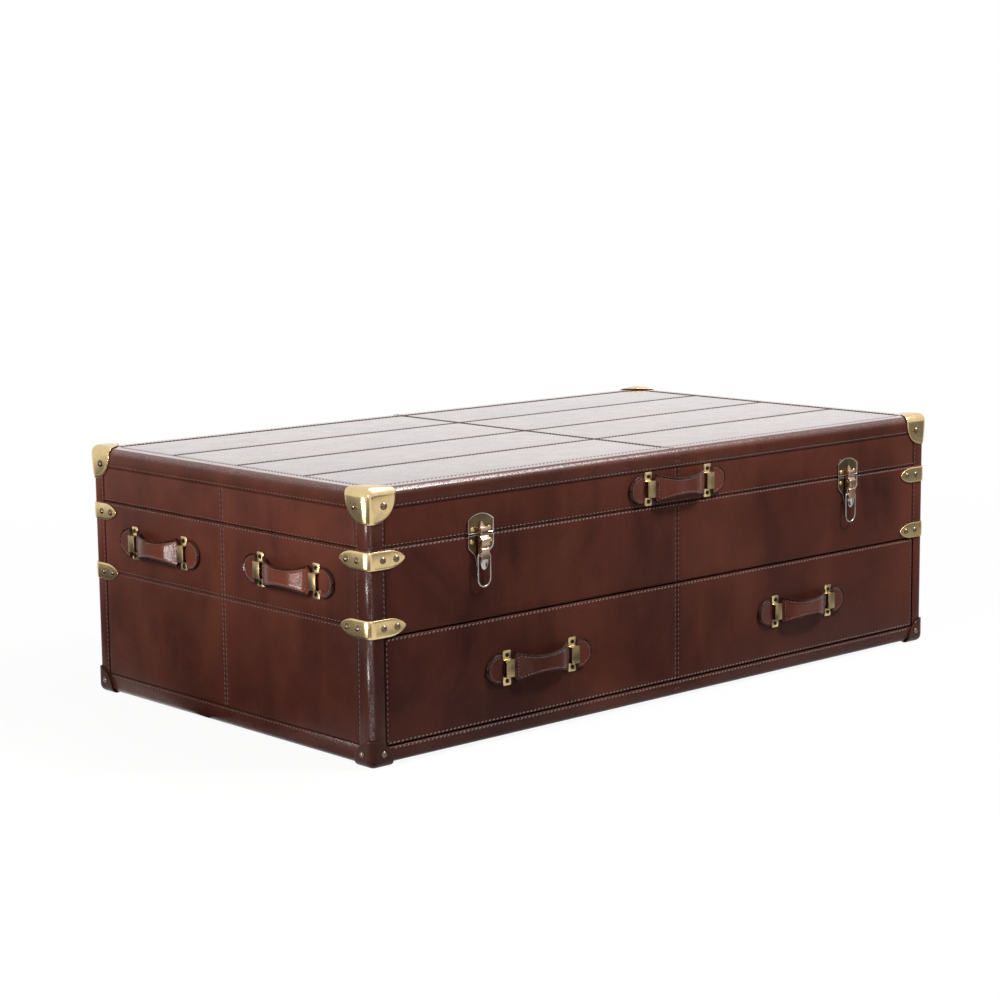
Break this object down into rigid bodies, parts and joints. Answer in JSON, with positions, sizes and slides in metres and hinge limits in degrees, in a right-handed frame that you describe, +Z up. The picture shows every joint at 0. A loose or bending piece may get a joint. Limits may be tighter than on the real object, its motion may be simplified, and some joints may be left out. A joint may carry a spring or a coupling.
{
  "type": "steamer trunk",
  "caption": "Low leather-covered trunk with brass corners, a hinged lid with draw latches over a compartment, and a full-width drawer below.",
  "frame": {"origin": "on the floor, under the middle of the whole trunk", "axes": "+X along the trunk to the right, -Y out of the front, +Z up"},
  "size_m": [1.2856, 0.7292, 0.4018],
  "materials": {
    "leather": "glossy mottled leather over board",
    "dark_leather": "glossy moulded leather",
    "handle_leather": "glossy stitched leather",
    "lining": "fabric-lined board",
    "wood": "plain matt wood",
    "brass": "satin",
    "latch_metal": "antique copper over steel"
  },
  "bodies": {
    "carcass": {"left_side_panel": "leather", "right_side_panel": "leather", "bottom_panel": "leather", "back_panel": "leather", "front_panel": "leather", "compartment_floor": "lining", "foot_cap_front_left": "dark_leather", "foot_cap_front_right": "dark_leather", "foot_cap_back_right": "dark_leather", "foot_cap_back_left": "dark_leather", "corner_band_lower_front_left": "brass", "corner_band_lower_front_right": "brass", "corner_band_lower_back_right": "brass", "corner_band_lower_back_left": "brass", "corner_band_upper_front_left": "brass", "corner_band_upper_front_right": "brass", "corner_band_upper_back_right": "brass", "corner_band_upper_back_left": "brass", "latch_base_left": "latch_metal", "latch_base_right": "latch_metal", "hinge_body_leaf": "brass", "left_end_front_handle_loop_back": "brass", "left_end_front_handle_loop_front": "brass", "left_end_back_handle_loop_back": "brass", "left_end_back_handle_loop_front": "brass", "right_end_front_handle_loop_front": "brass", "right_end_front_handle_loop_back": "brass", "right_end_back_handle_loop_front": "brass", "right_end_back_handle_loop_back": "brass"},
    "lid": {"lid_frame": "leather", "lid_top": "leather", "lid_cap_front_left": "brass", "lid_cap_front_right": "brass", "lid_cap_back_right": "brass", "lid_cap_back_left": "brass", "latch_keeper_left": "latch_metal", "latch_keeper_right": "latch_metal", "lid_handle_loop_left": "brass", "lid_handle_loop_right": "brass", "hinge_lid_leaf": "brass"},
    "drawer": {"drawer_front": "leather", "drawer_left_side": "wood", "drawer_right_side": "wood", "drawer_back": "wood", "drawer_bottom": "wood", "drawer_left_handle_loop_left": "brass", "drawer_left_handle_loop_right": "brass", "drawer_right_handle_loop_left": "brass", "drawer_right_handle_loop_right": "brass"},
    "latch_lever_left": {"latch_lever_left": "latch_metal"},
    "latch_bail_left": {"latch_bail_left": "latch_metal"},
    "latch_lever_right": {"latch_lever_right": "latch_metal"},
    "latch_bail_right": {"latch_bail_right": "latch_metal"},
    "lid_handle_strap": {"lid_handle_strap": "handle_leather"},
    "drawer_left_handle_strap": {"drawer_left_handle_strap": "handle_leather"},
    "drawer_right_handle_strap": {"drawer_right_handle_strap": "handle_leather"},
    "left_end_front_handle_strap": {"left_end_front_handle_strap": "handle_leather"},
    "left_end_back_handle_strap": {"left_end_back_handle_strap": "handle_leather"},
    "right_end_front_handle_strap": {"right_end_front_handle_strap": "handle_leather"},
    "right_end_back_handle_strap": {"right_end_back_handle_strap": "handle_leather"}
  },
  "joints": [
    {"name": "lid_hinge", "type": "hinge", "parent": "carcass", "child": "lid", "pos_m": [0, 0.3583, 0.315], "axis": [-1, 0, 0], "range_deg": [0, 95]},
    {"name": "drawer_slide", "type": "slide", "parent": "carcass", "child": "drawer", "axis": [0, -1, 0], "range_m": [0, 0.45]},
    {"name": "latch_lever_left_pivot", "type": "hinge", "parent": "carcass", "child": "latch_lever_left", "pos_m": [-0.416, -0.354, 0.3077], "axis": [-1, 0, 0], "range_deg": [0, 120]},
    {"name": "latch_bail_left_pivot", "type": "hinge", "parent": "latch_lever_left", "child": "latch_bail_left", "pos_m": [-0.416, -0.355, 0.2847], "axis": [1, 0, 0], "range_deg": [-174, 0]},
    {"name": "latch_lever_right_pivot", "type": "hinge", "parent": "carcass", "child": "latch_lever_right", "pos_m": [0.416, -0.354, 0.3077], "axis": [-1, 0, 0], "range_deg": [0, 120]},
    {"name": "latch_bail_right_pivot", "type": "hinge", "parent": "latch_lever_right", "child": "latch_bail_right", "pos_m": [0.416, -0.355, 0.2847], "axis": [1, 0, 0], "range_deg": [-174, 0]},
    {"name": "lid_handle_pull", "type": "slide", "parent": "lid", "child": "lid_handle_strap", "axis": [0, -1, 0], "range_m": [0, 0.004]},
    {"name": "drawer_left_handle_pull", "type": "slide", "parent": "drawer", "child": "drawer_left_handle_strap", "axis": [0, -1, 0], "range_m": [0, 0.004]},
    {"name": "drawer_right_handle_pull", "type": "slide", "parent": "drawer", "child": "drawer_right_handle_strap", "axis": [0, -1, 0], "range_m": [0, 0.004]},
    {"name": "left_end_front_handle_pull", "type": "slide", "parent": "carcass", "child": "left_end_front_handle_strap", "axis": [-1, 0, 0], "range_m": [0, 0.004]},
    {"name": "left_end_back_handle_pull", "type": "slide", "parent": "carcass", "child": "left_end_back_handle_strap", "axis": [-1, 0, 0], "range_m": [0, 0.004]},
    {"name": "right_end_front_handle_pull", "type": "slide", "parent": "carcass", "child": "right_end_front_handle_strap", "axis": [1, 0, 0], "range_m": [0, 0.004]},
    {"name": "right_end_back_handle_pull", "type": "slide", "parent": "carcass", "child": "right_end_back_handle_strap", "axis": [1, 0, 0], "range_m": [0, 0.004]}
  ]
}
